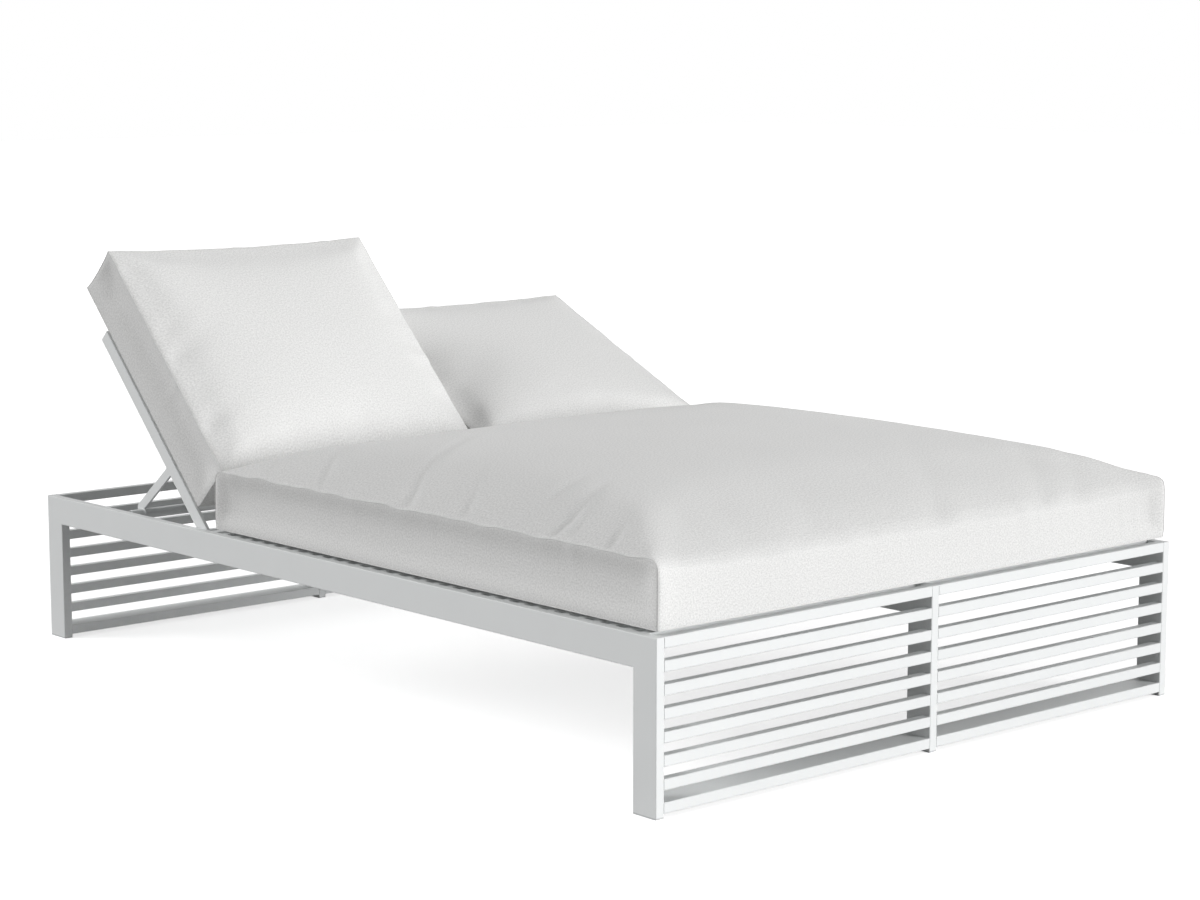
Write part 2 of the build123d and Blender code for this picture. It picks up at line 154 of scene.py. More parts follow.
def dress(names, material):
    """Gives every material slot of the named CAD nodes that material"""
    for name in names:
        slots = nodes[name].material_slots
        if not slots:
            nodes[name].data.materials.append(material)
        for slot in slots:
            slot.material = material


class LOUNGER_OT_frame_coat(bpy.types.Operator):
    """Coats the frame, the backrests and the stays with white powder coat"""
    bl_idname = "lounger.frame_coat"
    bl_label = "Coat the Frame"

    def execute(self, context):
        finishes = context.scene.lounger_finishes
        # Powder-coated aluminium: an even satin skin with a faint orange peel from the melt
        coat, tree, shader = new_material(
            "White powder coat on aluminium", Roughness=0.42, Specular_IOR_Level=0.4)
        place = add(tree, "ShaderNodeTexCoord").outputs["Object"]
        peel = add(tree, "ShaderNodeTexNoise", {
            "Vector": place, "Scale": 1 / finishes.coat_grain, "Detail": 1.0, "Roughness": 0.4})
        # Coat thickness drifts over a hand's width and shifts the white a little
        drift = add(tree, "ShaderNodeTexNoise", {
            "Vector": place, "Scale": 1 / (90 * MM), "Detail": 2.0})
        thin = (*(0.975 * level for level in finishes.powder_coat), 1)
        thick = (*(min(1, 1.02 * level) for level in finishes.powder_coat), 1)
        shade = add(tree, "ShaderNodeMix", {
            "Factor": drift.outputs["Fac"], "A": thin, "B": thick}, data_type="RGBA")
        tree.links.new(shade.outputs["Result"], shader.inputs["Base Color"])
        gloss = add(tree, "ShaderNodeMapRange", {
            "Value": drift.outputs["Fac"], "To Min": 0.38, "To Max": 0.47})
        tree.links.new(gloss.outputs["Result"], shader.inputs["Roughness"])
        bump = add(tree, "ShaderNodeBump", {
            "Height": peel.outputs["Fac"], "Strength": 0.12, "Distance": 0.2 * MM})
        tree.links.new(bump.outputs["Normal"], shader.inputs["Normal"])
        dress([name for name in nodes if name not in fitting_nodes + soft_nodes], coat)
        return {"FINISHED"}


fitting_nodes = ["leg_glides", "hinge_bolts", "hinge_washers", "left_stay_pins", "right_stay_pins"]
soft_nodes = ["seat_mattress", "left_back_cushion", "right_back_cushion"]


class LOUNGER_OT_fittings(bpy.types.Operator):
    """Finishes the glides, the hinge bolts, their washers and the stay pins"""
    bl_idname = "lounger.fittings"
    bl_label = "Finish the Fittings"

    def execute(self, context):
        # Polyethylene glide: moulded, slightly waxy, scuffed where it drags on the floor
        glide, tree, shader = new_material(
            "Moulded polyethylene glide", Roughness=0.5, Subsurface_Weight=0.05)
        place = add(tree, "ShaderNodeTexCoord").outputs["Object"]
        scuff = add(tree, "ShaderNodeTexNoise", {
            "Vector": place, "Scale": 1 / (4 * MM), "Detail": 4.0})
        shade = add(tree, "ShaderNodeMix", {
            "Factor": scuff.outputs["Fac"], "A": (*linear("#C2C3C3"), 1),
            "B": (*linear("#D9DADA"), 1)}, data_type="RGBA")
        tree.links.new(shade.outputs["Result"], shader.inputs["Base Color"])
        bump = add(tree, "ShaderNodeBump", {
            "Height": scuff.outputs["Fac"], "Strength": 0.25, "Distance": 0.3 * MM})
        tree.links.new(bump.outputs["Normal"], shader.inputs["Normal"])
        dress(["leg_glides"], glide)

        # Acetal washer: turned white plastic with a fine tool mark and low shine
        washer, tree, shader = new_material("Turned acetal washer", Roughness=0.35)
        place = add(tree, "ShaderNodeTexCoord").outputs["Object"]
        turned = add(tree, "ShaderNodeTexNoise", {
            "Vector": place, "Scale": 1 / (0.8 * MM), "Detail": 2.0})
        shade = add(tree, "ShaderNodeMix", {
            "Factor": turned.outputs["Fac"], "A": (*linear("#DADBDB"), 1),
            "B": (*linear("#E8E9E9"), 1)}, data_type="RGBA")
        tree.links.new(shade.outputs["Result"], shader.inputs["Base Color"])
        dress(["hinge_washers"], washer)

        # Stainless steel: brushed across the head, so the shine draws out along the scratches
        steel, tree, shader = new_material(
            "Brushed stainless steel", Metallic=1.0, Roughness=0.28, Anisotropic=0.4)
        place = add(tree, "ShaderNodeTexCoord").outputs["Object"]
        drawn = add(tree, "ShaderNodeMapping", {"Vector": place, "Scale": (1.0, 12.0, 1.0)})
        scratch = add(tree, "ShaderNodeTexNoise", {
            "Vector": drawn.outputs["Vector"], "Scale": 1 / (3 * MM), "Detail": 3.0})
        shade = add(tree, "ShaderNodeMix", {
            "Factor": scratch.outputs["Fac"], "A": (*linear("#B9BABB"), 1),
            "B": (*linear("#D4D5D6"), 1)}, data_type="RGBA")
        tree.links.new(shade.outputs["Result"], shader.inputs["Base Color"])
        rough = add(tree, "ShaderNodeMapRange", {
            "Value": scratch.outputs["Fac"], "To Min": 0.22, "To Max": 0.38})
        tree.links.new(rough.outputs["Result"], shader.inputs["Roughness"])
        dress(["hinge_bolts", "left_stay_pins", "right_stay_pins"], steel)
        return {"FINISHED"}


def fabric_material(finishes):
    """Outdoor fabric: a plain weave of spun yarns in two whites, matt with a soft sheen"""
    found = bpy.data.materials.get("Woven outdoor acrylic")
    if found:
        return found
    fabric, tree, shader = new_material(
        "Woven outdoor acrylic", Roughness=0.88, Sheen_Weight=0.12, Sheen_Roughness=0.45,
        Specular_IOR_Level=0.22)
    cloth = add(tree, "ShaderNodeUVMap", uv_map="weave").outputs["UV"]

    # Yarns lie about 1 mm apart; they are drawn coarser so that the grain still shows
    count = add(tree, "ShaderNodeVectorMath", {0: cloth, "Scale": pi / finishes.yarn_pitch},
                operation="SCALE").outputs["Vector"]
    run = add(tree, "ShaderNodeSeparateXYZ", {"Vector": count})
    warp = add(tree, "ShaderNodeMath", {0: run.outputs["X"]}, operation="SINE").outputs["Value"]
    weft = add(tree, "ShaderNodeMath", {0: run.outputs["Y"]}, operation="SINE").outputs["Value"]
    crossing = add(tree, "ShaderNodeMath", {0: warp, 1: weft},
                   operation="MULTIPLY").outputs["Value"]
    over = add(tree, "ShaderNodeMapRange", {
        "Value": crossing, "From Min": -0.35, "From Max": 0.35}).outputs["Result"]
    warp_round = add(tree, "ShaderNodeMath", {0: warp}, operation="ABSOLUTE").outputs["Value"]
    weft_round = add(tree, "ShaderNodeMath", {0: weft}, operation="ABSOLUTE").outputs["Value"]
    relief = add(tree, "ShaderNodeMix", {"Factor": over, "A": weft_round, "B": warp_round},
                 data_type="FLOAT").outputs["Result"]

    # Slubs and two tones of yarn give the cloth its speckle
    speckle = add(tree, "ShaderNodeTexNoise", {
        "Vector": cloth, "Scale": 1 / (3.8 * MM), "Detail": 2.0, "Roughness": 0.7}).outputs["Fac"]
    tone = add(tree, "ShaderNodeMapRange", {
        "Value": speckle, "From Min": 0.32, "From Max": 0.68}).outputs["Result"]
    yarn = add(tree, "ShaderNodeMix", {
        "Factor": tone, "A": (*finishes.yarn_dark, 1), "B": (*finishes.yarn_pale, 1)},
        data_type="RGBA").outputs["Result"]
    # Sun and handling leave a broad, faint unevenness
    wash = add(tree, "ShaderNodeTexNoise", {
        "Vector": cloth, "Scale": 1 / (260 * MM), "Detail": 2.0}).outputs["Fac"]
    shade_factor = add(tree, "ShaderNodeMapRange", {
        "Value": wash, "To Min": 0.965, "To Max": 1.02}).outputs["Result"]
    shade = add(tree, "ShaderNodeVectorMath", {0: yarn, "Scale": shade_factor},
                operation="SCALE").outputs["Vector"]
    tree.links.new(shade, shader.inputs["Base Color"])
    height = add(tree, "ShaderNodeMath", {0: speckle, 1: 0.8, 2: relief},
                 operation="MULTIPLY_ADD").outputs["Value"]
    bump = add(tree, "ShaderNodeBump", {"Height": height, "Strength": 0.3, "Distance": 0.35 * MM})
    tree.links.new(bump.outputs["Normal"], shader.inputs["Normal"])
    return fabric


def seam_material(finishes):
    """Turned-in edge of the same cloth, seen end on: paler ridges of twisted yarn"""
    found = bpy.data.materials.get("Turned-in cloth edge")
    if found:
        return found
    edge, tree, shader = new_material("Turned-in cloth edge", Roughness=0.9, Specular_IOR_Level=0.2)
    place = add(tree, "ShaderNodeTexCoord").outputs["Object"]
    twist = add(tree, "ShaderNodeTexNoise", {
        "Vector": place, "Scale": 1 / (2 * MM), "Detail": 2.0}).outputs["Fac"]
    shade = add(tree, "ShaderNodeMix", {
        "Factor": twist, "A": (*finishes.yarn_dark, 1), "B": (*finishes.yarn_pale, 1)},
        data_type="RGBA")
    tree.links.new(shade.outputs["Result"], shader.inputs["Base Color"])
    bump = add(tree, "ShaderNodeBump", {"Height": twist, "Strength": 0.3, "Distance": 0.3 * MM})
    tree.links.new(bump.outputs["Normal"], shader.inputs["Normal"])
    return edge


# A point whose unit coordinate passes this lies on that face of its unit box
face_from = 1 - 1e-4

# Side profile of a boxed cushion: heights as shares of the boxing, tucks as shares of its tuck
boxing_heights = (0.0, 0.04, 0.12, 0.28, 0.5, 0.8, 1.0)
boxing_tucks = (1.0, 0.6, 0.22, 0.03, 0.0, 0.12, 0.45)

# How far each form of a cover reaches along its surface before it fades
belly_reach = 22 * MM
wave_reach = 45 * MM
roll_reach = 46 * MM
layer_reach = 30 * MM
crease_guard = 14 * MM
gather_reach = 60 * MM
pull_reach = 50 * MM
corner_reach = 40 * MM
seam_reach = 5 * MM

# A round end is tighter at its corners by this share
corner_tightness = 0.82

# The banks of a crease, as shares of its width and of its depth
bank_width = 2.4
bank_height = 0.4

# Wavelengths in millimetres that make up each irregular wave along a seam
side_waves = (83, 131, 197)
end_waves = (97, 149, 223)
gather_waves = (41, 59, 83)
gather_runs = (340, 530)
pull_waves = (23, 31, 43)


class Cushion:
    """A boxed cushion in its own axes: across, along, and up from its underside, in metres"""

    def __init__(self, name, node, body, place, **build):
        self.name = name
        self.node = node
        self.body = body
        self.place = place
        self.build = build
        points = moved(read_points(nodes[node].data), place.inverted())
        self.low = points.min(axis=0)
        self.high = points.max(axis=0)
        self.middle = (self.low + self.high) / 2
        self.half = (self.high - self.low) / 2
        self.seam = self.high[2] - build["cad_crown"]
        self.boxing = self.seam - self.low[2]


def read_points(mesh):
    """All vertices of a mesh as an array"""
    points = np.empty(len(mesh.vertices) * 3)
    mesh.vertices.foreach_get("co", points)
    return points.reshape(-1, 3)


def write_points(mesh, points):
    """Moves all vertices of a mesh"""
    mesh.vertices.foreach_set("co", np.ascontiguousarray(points).ravel())
    mesh.update()


def read_normals(mesh):
    """All vertex normals of a mesh as an array"""
    normals = np.empty(len(mesh.vertices) * 3)
    mesh.vertices.foreach_get("normal", normals)
    return normals.reshape(-1, 3)


def read_edges(mesh):
    """The first and the second vertex of every edge, as two arrays"""
    ends = np.empty(len(mesh.edges) * 2, dtype=int)
    mesh.edges.foreach_get("vertices", ends)
    return ends[0::2], ends[1::2]


def read_unit(mesh):
    """Where each vertex lies on the unit box that its cushion was made from"""
    unit = np.empty(len(mesh.vertices) * 3)
    mesh.attributes["unit"].data.foreach_get("vector", unit)
    return unit.reshape(-1, 3)


def moved(points, matrix):
    """Points carried by a matrix"""
    return points @ np.array(matrix.to_3x3()).T + np.array(matrix.translation)


def quad_box(name, cells):
    """A cube of quads with that many cells along each axis, from -1 to 1"""
    bpy.ops.object.select_all(action="DESELECT")
    bpy.ops.mesh.primitive_cube_add(size=2)
    box = bpy.context.object
    box.name = name
    bpy.ops.object.mode_set(mode="EDIT")
    bpy.ops.mesh.select_mode(type="EDGE")
    for axis, count in enumerate(cells):
        bpy.ops.mesh.select_all(action="DESELECT")
        edit = bmesh.from_edit_mesh(box.data)
        for edge in edit.edges:
            run = edge.verts[1].co - edge.verts[0].co
            edge.select_set(abs(run[axis]) > run.length / 2)
        bmesh.update_edit_mesh(box.data)
        bpy.ops.mesh.subdivide(number_cuts=count - 1)
    bpy.ops.object.mode_set(mode="OBJECT")
    return box


def weave_map(mesh, cushion):
    """Lays each panel's weave straight along its own two directions, in metres"""
    layer = mesh.uv_layers.new(name="weave")
    normals = np.empty(len(mesh.polygons) * 3)
    mesh.polygons.foreach_get("normal", normals)
    facing = np.repeat(np.abs(normals.reshape(-1, 3)).argmax(axis=1), 4)
    corners = np.empty(len(mesh.loops), dtype=int)
    mesh.loops.foreach_get("vertex_index", corners)
    points = read_points(mesh)[corners] * (cushion.half[0], cushion.half[1], cushion.boxing / 2)
    across = np.where(facing == 0, points[:, 1], points[:, 0])
    along = np.where(facing == 2, points[:, 1], points[:, 2])
    layer.data.foreach_set("uv", np.column_stack((across, along)).ravel())


def wander(along, wavelengths, offset):
    """A slow irregular wave between about -1 and 1, along a seam in metres"""
    total = np.zeros(len(along))
    for place, wavelength in enumerate(wavelengths):
        total += np.sin(2 * pi * along / (wavelength * MM) + offset + 1.7 * place)
    return total / len(wavelengths)


def boxed_form(unit, cushion):
    """Cushion points for the points of a unit box: flat below, boxed sides, crowned above"""
    build = cushion.build
    u, v, w = unit.T
    height = (w + 1) / 2
    tuck = np.interp(height, boxing_heights, boxing_tucks) * build["tuck"]
    # Only the top seam pulls in between the corners: the base follows what carries it
    x = u * (cushion.half[0] - tuck - build["side_pull"] * height * (1 - v ** 2))
    y = v * (cushion.half[1] - tuck - build["end_pull"] * height * (1 - u ** 2))
    from_side = cushion.half[0] * (1 - np.abs(u))
    from_end = cushion.half[1] * (1 - np.abs(v))

    # A round shoulder just inside the seam carries a broad, low dome
    end_way = build["end_spread"] * from_end
    way_in = from_side * end_way / ((from_side ** 3 + end_way ** 3) ** (1 / 3) + 1e-9)
    shoulder = 1 - np.exp(-build["steepness"] * way_in / min(cushion.half[:2]))
    dome = (1 - u ** 2) * (1 - v ** 2)
    crown = cushion.seam + build["shoulder"] * shoulder + build["dome"] * dome

    # The base seam stands off its support by the lift, and the base panel bellies down to it
    lift = build["lift"]
    rim = np.minimum(from_side, from_end) / belly_reach
    belly = cushion.low[2] + lift * np.exp(-rim ** 1.5)
    side = cushion.low[2] + lift + height * (cushion.boxing - lift)
    z = np.where(w > face_from, crown, np.where(w < -face_from, belly, side))

    # The top seam rises and dips a little along its length
    wave = np.where(from_side < from_end, wander(y, side_waves, 0.4), wander(x, end_waves, 1.1))
    z += build["seam_wave"] * wave * height ** 2 * np.exp(-way_in / wave_reach)
    if build["waterfall"]:
        # The top panel runs on down both ends in one piece, over a soft round edge
        spread = (1 - corner_tightness * u ** 10) * roll_reach
        drop = (1 - height) * cushion.boxing
        roll = 0.5 * spread * np.exp(-np.hypot(from_end, drop) / spread)
        y -= np.sign(v) * roll
        z -= roll
    return np.column_stack((x + cushion.middle[0], y + cushion.middle[1], z))


def settled(pad, unit, build, settings):
    """Lets the cover settle as cloth under the pressure of its filling, and returns its points"""
    mesh = pad.data
    seams = pad.vertex_groups.new(name="seams")
    held = pad.vertex_groups.new(name="held")
    on_seam = (np.abs(unit) > face_from).sum(axis=1) >= 2
    seams.add(np.flatnonzero(on_seam).tolist(), 1, "REPLACE")
    held.add(np.flatnonzero(unit[:, 2] < -face_from).tolist(), 1, "REPLACE")

    cloth = pad.modifiers.new("filling", "CLOTH")
    cover = cloth.settings
    cover.quality = 5
    cover.mass = 0.3
    cover.tension_stiffness = 25
    cover.compression_stiffness = 8
    cover.shear_stiffness = 5
    cover.bending_stiffness = build["stiffness"]
    cover.use_pressure = True
    cover.uniform_pressure_force = settings.pressure
    cover.vertex_group_mass = "held"
    cover.vertex_group_shrink = "seams"
    cover.shrink_min = 0
    cover.shrink_max = build["gathered"]
    cover.effector_weights.gravity = 0
    cloth.collision_settings.use_collision = False
    cloth.point_cache.frame_end = settings.frames
    for step in range(1, settings.frames + 1):
        bpy.context.scene.frame_set(step)
    bpy.context.view_layer.objects.active = pad
    bpy.ops.object.modifier_apply(modifier=cloth.name)
    bpy.context.scene.frame_set(1)
    pad.vertex_groups.clear()
    return read_points(mesh)


def filled(pad, cushion, settings):
    """Fills the cover: cloth settles round the filling, no point further than the cushion's cap"""
    mesh = pad.data
    build = cushion.build
    start = read_points(mesh)
    unit = read_unit(mesh)
    shift = settled(pad, unit, build, settings) - start
    reach = np.linalg.norm(shift, axis=1)
    shift *= np.minimum(1, build["cap"] / np.maximum(reach, 1e-9))[:, None]

    # Wadding under the cover evens out its sharpest puckers
    first, second = read_edges(mesh)
    count = np.bincount(np.concatenate((first, second)), minlength=len(shift))[:, None]
    for _ in range(build["calmed"]):
        around = np.zeros_like(shift)
        for axis in range(3):
            around[:, axis] = (np.bincount(first, shift[second, axis], len(shift))
                               + np.bincount(second, shift[first, axis], len(shift)))
        shift = (shift + around / count) / 2

    # A seam's layers of cloth hold their line
    half_size = (*cushion.half[:2], cushion.boxing / 2)
    from_edge = np.sort((1 - np.abs(unit)) * half_size, axis=1)[:, 1:2]
    shift *= 1 - build["firmness"] * np.exp(-(from_edge / layer_reach) ** 2)
    write_points(mesh, start + shift)


def stroke(points, line, width):
    """How near points lie to a drawn line: 1 at its start, fading over its width and length"""
    near = np.zeros(len(points))
    runs = np.diff(line, axis=0)
    lengths = np.concatenate(([0], np.cumsum(np.linalg.norm(runs, axis=1))))
    for place, run in enumerate(runs):
        share = np.clip((points - line[place]) @ run / (run @ run), 0, 1)
        away = np.linalg.norm(points - line[place] - share[:, None] * run, axis=1)
        along = (lengths[place] + share * (lengths[place + 1] - lengths[place])) / lengths[-1]
        near = np.maximum(near, np.exp(-(away / width) ** 2) * np.clip(1.05 - along, 0, 1))
    return near


def relief(points, unit, cushion, creases, settings):
    """How far each point of a filled cover moves outwards for its creases, gathers and seams"""
    from_side = (1 - np.abs(unit[:, 0])) * cushion.half[0]
    from_end = (1 - np.abs(unit[:, 1])) * cushion.half[1]
    from_top = (1 - unit[:, 2]) / 2 * cushion.boxing
    from_base = (1 + unit[:, 2]) / 2 * cushion.boxing
    on_top = unit[:, 2] > face_from
    on_side = (np.abs(unit[:, 0]) > face_from) & ~on_top
    on_end = (np.abs(unit[:, 1]) > face_from) & ~on_top

    # A crease is a valley with the cloth beside it standing up a little; the seam stays straight
    rise = np.zeros(len(points))
    for line, width, depth in creases:
        line = np.array(line) * MM
        valley = stroke(points[:, :2], line, width * MM)
        banks = stroke(points[:, :2], line, bank_width * width * MM)
        rise -= depth * MM * (valley - bank_height * banks)
    from_seam = np.minimum(from_side, from_end)
    rise *= on_top * (1 - 0.9 * np.exp(-(from_seam / crease_guard) ** 2))

    # Gathers: short ripples square to each seam that come and go along it and fade into the panel
    gather = settings.gather_depth
    for near, along, panel in ((from_end, points[:, 0], on_top), (from_side, points[:, 1], on_top),
                               (from_top, points[:, 0], on_end), (from_top, points[:, 1], on_side)):
        come_and_go = np.clip(0.35 + wander(along, gather_runs, 2.1), 0, 1)
        ripple = wander(along, gather_waves, 0.6)
        rise += gather * panel * come_and_go * ripple * np.exp(-near / gather_reach)
    waterfall = cushion.build["waterfall"]
    if waterfall:
        # Cloth drawn over the round end shows fine upright pulls, more of them to one side
        pulls = wander(points[:, 0], pull_waves, 0.9) * np.clip(0.55 + 0.45 * unit[:, 0], 0.15, 1)
        rise += 0.4 * gather * pulls * np.where(on_end, 1, on_top * np.exp(-from_end / pull_reach))

    # The boxing draws back under the fuller top panel, most at two thirds of its height
    sides = on_side if waterfall else on_side | on_end
    up = (unit[:, 2] + 1) / 2
    clear = 1 - np.exp(-((from_side + from_end) / corner_reach) ** 2)
    hollow = 3.8 * up ** 1.8 * (1 - up) ** 0.9
    rise -= cushion.build["undercut"] * sides * hollow * clear

    # Each seam draws the cover in along its line
    drawn = np.zeros(len(points))
    sewn = [(from_side, from_end), (from_side, from_top), (from_side, from_base),
            (from_end, from_base)]
    if not waterfall:
        sewn.append((from_end, from_top))
    for first, second in sewn:
        drawn = np.maximum(drawn, np.exp(-(np.hypot(first, second) / seam_reach) ** 2))
    return rise - settings.seam_depth * drawn


def seam_paths(unit, waterfall):
    """The cover's sewn edges as runs of vertices, each with whether it is closed"""
    at_face = np.abs(unit) > face_from
    paths = []
    rings = (-1,) if waterfall else (1, -1)
    for side in (-1, 1) if waterfall else ():
        # Up one corner, along the side and down the other corner
        row = np.flatnonzero((unit[:, 0] * side > face_from)
                             & (at_face[:, 1] | (unit[:, 2] > face_from)))
        run = unit[row, 1] + np.sign(unit[row, 1]) * (1 - unit[row, 2])
        paths.append((row[np.argsort(run)], False))
    for level in rings:
        ring = []
        on_level = unit[:, 2] * level > face_from
        for axis, side in ((1, -1), (0, 1), (1, 1), (0, -1)):
            row = np.flatnonzero(on_level & (unit[:, axis] * side > face_from))
            way = -side if axis == 1 else side
            ring.extend(row[np.argsort(way * unit[row, 1 - axis])][:-1])
        paths.append((ring, True))
    for side in () if waterfall else (-1, 1):
        for end in (-1, 1):
            row = np.flatnonzero((unit[:, 0] * side > face_from) & (unit[:, 1] * end > face_from))
            paths.append((row[np.argsort(unit[row, 2])], False))
    return paths


def sewn_edges(name, points, normals, paths, radius):
    """A fine ridge of turned-in cloth along each seam path"""
    curve = bpy.data.curves.new(name, "CURVE")
    curve.dimensions = "3D"
    curve.bevel_depth = radius
    curve.bevel_resolution = 1
    for path, closed in paths:
        spline = curve.splines.new("POLY")
        spline.points.add(len(path) - 1)
        along = points[path] - 0.2 * radius * normals[path]
        spline.points.foreach_set("co", np.column_stack((along, np.ones(len(path)))).ravel())
        spline.use_cyclic_u = closed
    ridge = bpy.data.objects.new(name, curve)
    bpy.context.collection.objects.link(ridge)
    bpy.ops.object.select_all(action="DESELECT")
    ridge.select_set(True)
    bpy.context.view_layer.objects.active = ridge
    bpy.ops.object.convert(target="MESH")
    bpy.ops.object.shade_smooth()
    return bpy.context.object


def sharpen_seams(mesh, unit, waterfall):
    """Creases the edges along the sewn seams, so that smoothing keeps them"""
    first, second = read_edges(mesh)
    shared = (np.abs(unit[first]) > face_from) & (np.abs(unit[second]) > face_from)
    sewn = shared.sum(axis=1) >= 2
    if waterfall:
        sewn &= ~(shared[:, 1] & shared[:, 2] & (unit[first, 2] > 0))
    creased = mesh.attributes.new("crease_edge", "FLOAT", "EDGE")
    creased.data.foreach_set("value", sewn.astype(np.float32))


def make_cushion(cushion, creases, context):
    """Cuts, fills, creases and sews one cushion and puts it in its CAD solid's place"""
    settings = context.scene.lounger_cushions
    finishes = context.scene.lounger_finishes
    waterfall = cushion.build["waterfall"]
    size = (2 * cushion.half[0], 2 * cushion.half[1], cushion.boxing)
    pad = quad_box(cushion.name, [round(length / cushion.build["cell"]) for length in size])
    mesh = pad.data
    weave_map(mesh, cushion)
    unit = read_points(mesh)
    mesh.attributes.new("unit", "FLOAT_VECTOR", "POINT").data.foreach_set("vector", unit.ravel())
    sharpen_seams(mesh, unit, waterfall)
    write_points(mesh, boxed_form(unit, cushion))
    filled(pad, cushion, settings)

    bpy.ops.object.select_all(action="DESELECT")
    pad.select_set(True)
    context.view_layer.objects.active = pad
    smooth = pad.modifiers.new("smooth", "SUBSURF")
    smooth.levels = smooth.render_levels = 1
    bpy.ops.object.modifier_apply(modifier=smooth.name)

    points = read_points(mesh)
    unit = read_unit(mesh)
    points += read_normals(mesh) * relief(points, unit, cushion, creases, settings)[:, None]

    # The cover rests flat on what carries it and keeps off its neighbours
    points[:, 2] = np.maximum(points[:, 2], cushion.low[2])
    points[:, 1] = np.clip(points[:, 1], cushion.low[1], cushion.high[1])
    write_points(mesh, moved(points, cushion.place))
    bpy.ops.object.shade_smooth()
    mesh.materials.append(fabric_material(finishes))
    seams = sewn_edges(cushion.name.replace("cover", "seams"), read_points(mesh),
                       read_normals(mesh), seam_paths(unit, waterfall), settings.seam_radius)
    seams.data.materials.append(seam_material(finishes))
    mesh.attributes.remove(mesh.attributes["unit"])
    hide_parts(cushion.node)
    for piece in (pad, seams):
        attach(piece, cushion.body)


class LOUNGER_OT_seat_mattress(bpy.types.Operator):
    """Makes the seat mattress"""
    bl_idname = "lounger.seat_mattress"
    bl_label = "Make the Mattress"

    def execute(self, context):
        sizes = context.scene.lounger_cushions
        make_cushion(Cushion(
            "mattress_cover", "seat_mattress", "frame", Matrix.Identity(4),
            cell=sizes.mattress_cell, waterfall=True,
            cad_crown=72 * MM, shoulder=54 * MM, dome=32 * MM, steepness=8, end_spread=0.6,
            lift=8 * MM, tuck=3 * MM, side_pull=2 * MM, end_pull=1 * MM, undercut=8 * MM,
            seam_wave=3 * MM, stiffness=2.0, gathered=0.008, calmed=6, firmness=0.8,
            cap=12 * MM), mattress_creases, context)
        return {"FINISHED"}


class LOUNGER_OT_back_cushions(bpy.types.Operator):
    """Makes the two back cushions"""
    bl_idname = "lounger.back_cushions"
    bl_label = "Make the Back Cushions"

    def execute(self, context):
        sizes = context.scene.lounger_cushions
        for side, recline, creases in (("left", left_recline, left_creases),
                                       ("right", right_recline, right_creases)):
            place = (Matrix.Translation((0, hinge_y, hinge_z))
                     @ Matrix.Rotation(radians(recline), 4, "X"))
            # The negative tuck flares the base out over the backrest's bars
            make_cushion(Cushion(
                side + "_back_cushion_cover", side + "_back_cushion", side + "_cushion", place,
                cell=sizes.cushion_cell, waterfall=False,
                cad_crown=28 * MM, shoulder=32 * MM, dome=12 * MM, steepness=4, end_spread=1.0,
                lift=0, tuck=-4 * MM, side_pull=1 * MM, end_pull=10 * MM, undercut=6 * MM,
                seam_wave=1 * MM, stiffness=2.0, gathered=0.008, calmed=8, firmness=0.9,
                cap=8 * MM), creases, context)
        return {"FINISHED"}


# Creases of the covers: where each one runs on its panel, in millimetres across and along in
# the cushion's own axes, its half width and its depth. Each starts where the cloth is pulled.
mattress_creases = (
    (((-700, 185), (-655, 200), (-590, 255)), 12, 5.1),
    (((-700, 60), (-665, 75)), 12, 4.2),
    (((-700, -15), (-594, 78), (-464, 176), (-336, 255)), 13, 5.1),
    (((-700, -300), (-587, -210), (-458, -129), (-300, -29)), 14, 6.0),
    (((-700, -385), (-640, -345)), 12, 4.2),
    (((-700, -470), (-626, -413), (-508, -307)), 13, 6.0),
    (((-700, -613), (-645, -608), (-600, -590)), 12, 4.2),
    (((-700, -722), (-636, -709), (-546, -669), (-480, -630)), 15, 9.3),
    (((-590, -605), (-524, -579), (-439, -564)), 15, 5.1),
    (((-670, -755), (-610, -729), (-560, -697)), 12, 5.1),
    (((-700, -840), (-660, -834)), 10, 4.2),
    (((-700, -877), (-647, -846), (-595, -822)), 14, 9.3),
    (((-700, -906), (-640, -888)), 10, 5.1),
    (((-472, -1000), (-423, -881), (-352, -776)), 24, 2.4),
    (((-330, -1005), (-248, -923), (-124, -740)), 26, 3.0),
    (((30, -1005), (176, -815), (342, -589)), 28, 4.2),
    (((340, -1005), (450, -859), (602, -637)), 28, 4.8),
    (((440, -1005), (606, -821), (690, -720)), 24, 3.6),
)
left_creases = (
    (((-665, 600), (-609, 592), (-570, 545)), 24, 4.0),
    (((-665, 412), (-603, 448), (-555, 476)), 22, 3.0),
    (((-672, 343), (-613, 374), (-535, 420)), 26, 6.0),
    (((-676, 160), (-620, 191), (-555, 232)), 28, 7.0),
    (((-676, 72), (-627, 120), (-560, 158)), 24, 4.0),
    (((-440, 655), (-405, 632), (-370, 612)), 16, 6.0),
    (((-325, 655), (-275, 620)), 15, 5.0),
    (((-185, 655), (-128, 618)), 16, 6.0),
)
right_creases = (
    (((20, 95), (125, 205), (223, 297), (300, 410)), 50, 4.5),
    (((330, 130), (462, 184)), 30, 2.0),
)


# Where the lights come from, towards the light, and the angle that each one fills: the key low
# from the front and a little from the right, the fill higher from the left rear
key_way = (0.42, -0.88, 0.19)
key_spread = radians(25)
fill_way = (-0.68, 0.56, 0.46)
fill_spread = radians(35)

# The photograph's camera, fitted to the frame's corners: it looks down by its dip
camera_place = (-3.8331, -4.4242, 1.3209)
camera_dip = radians(8.313)
camera_turn = radians(41.303)


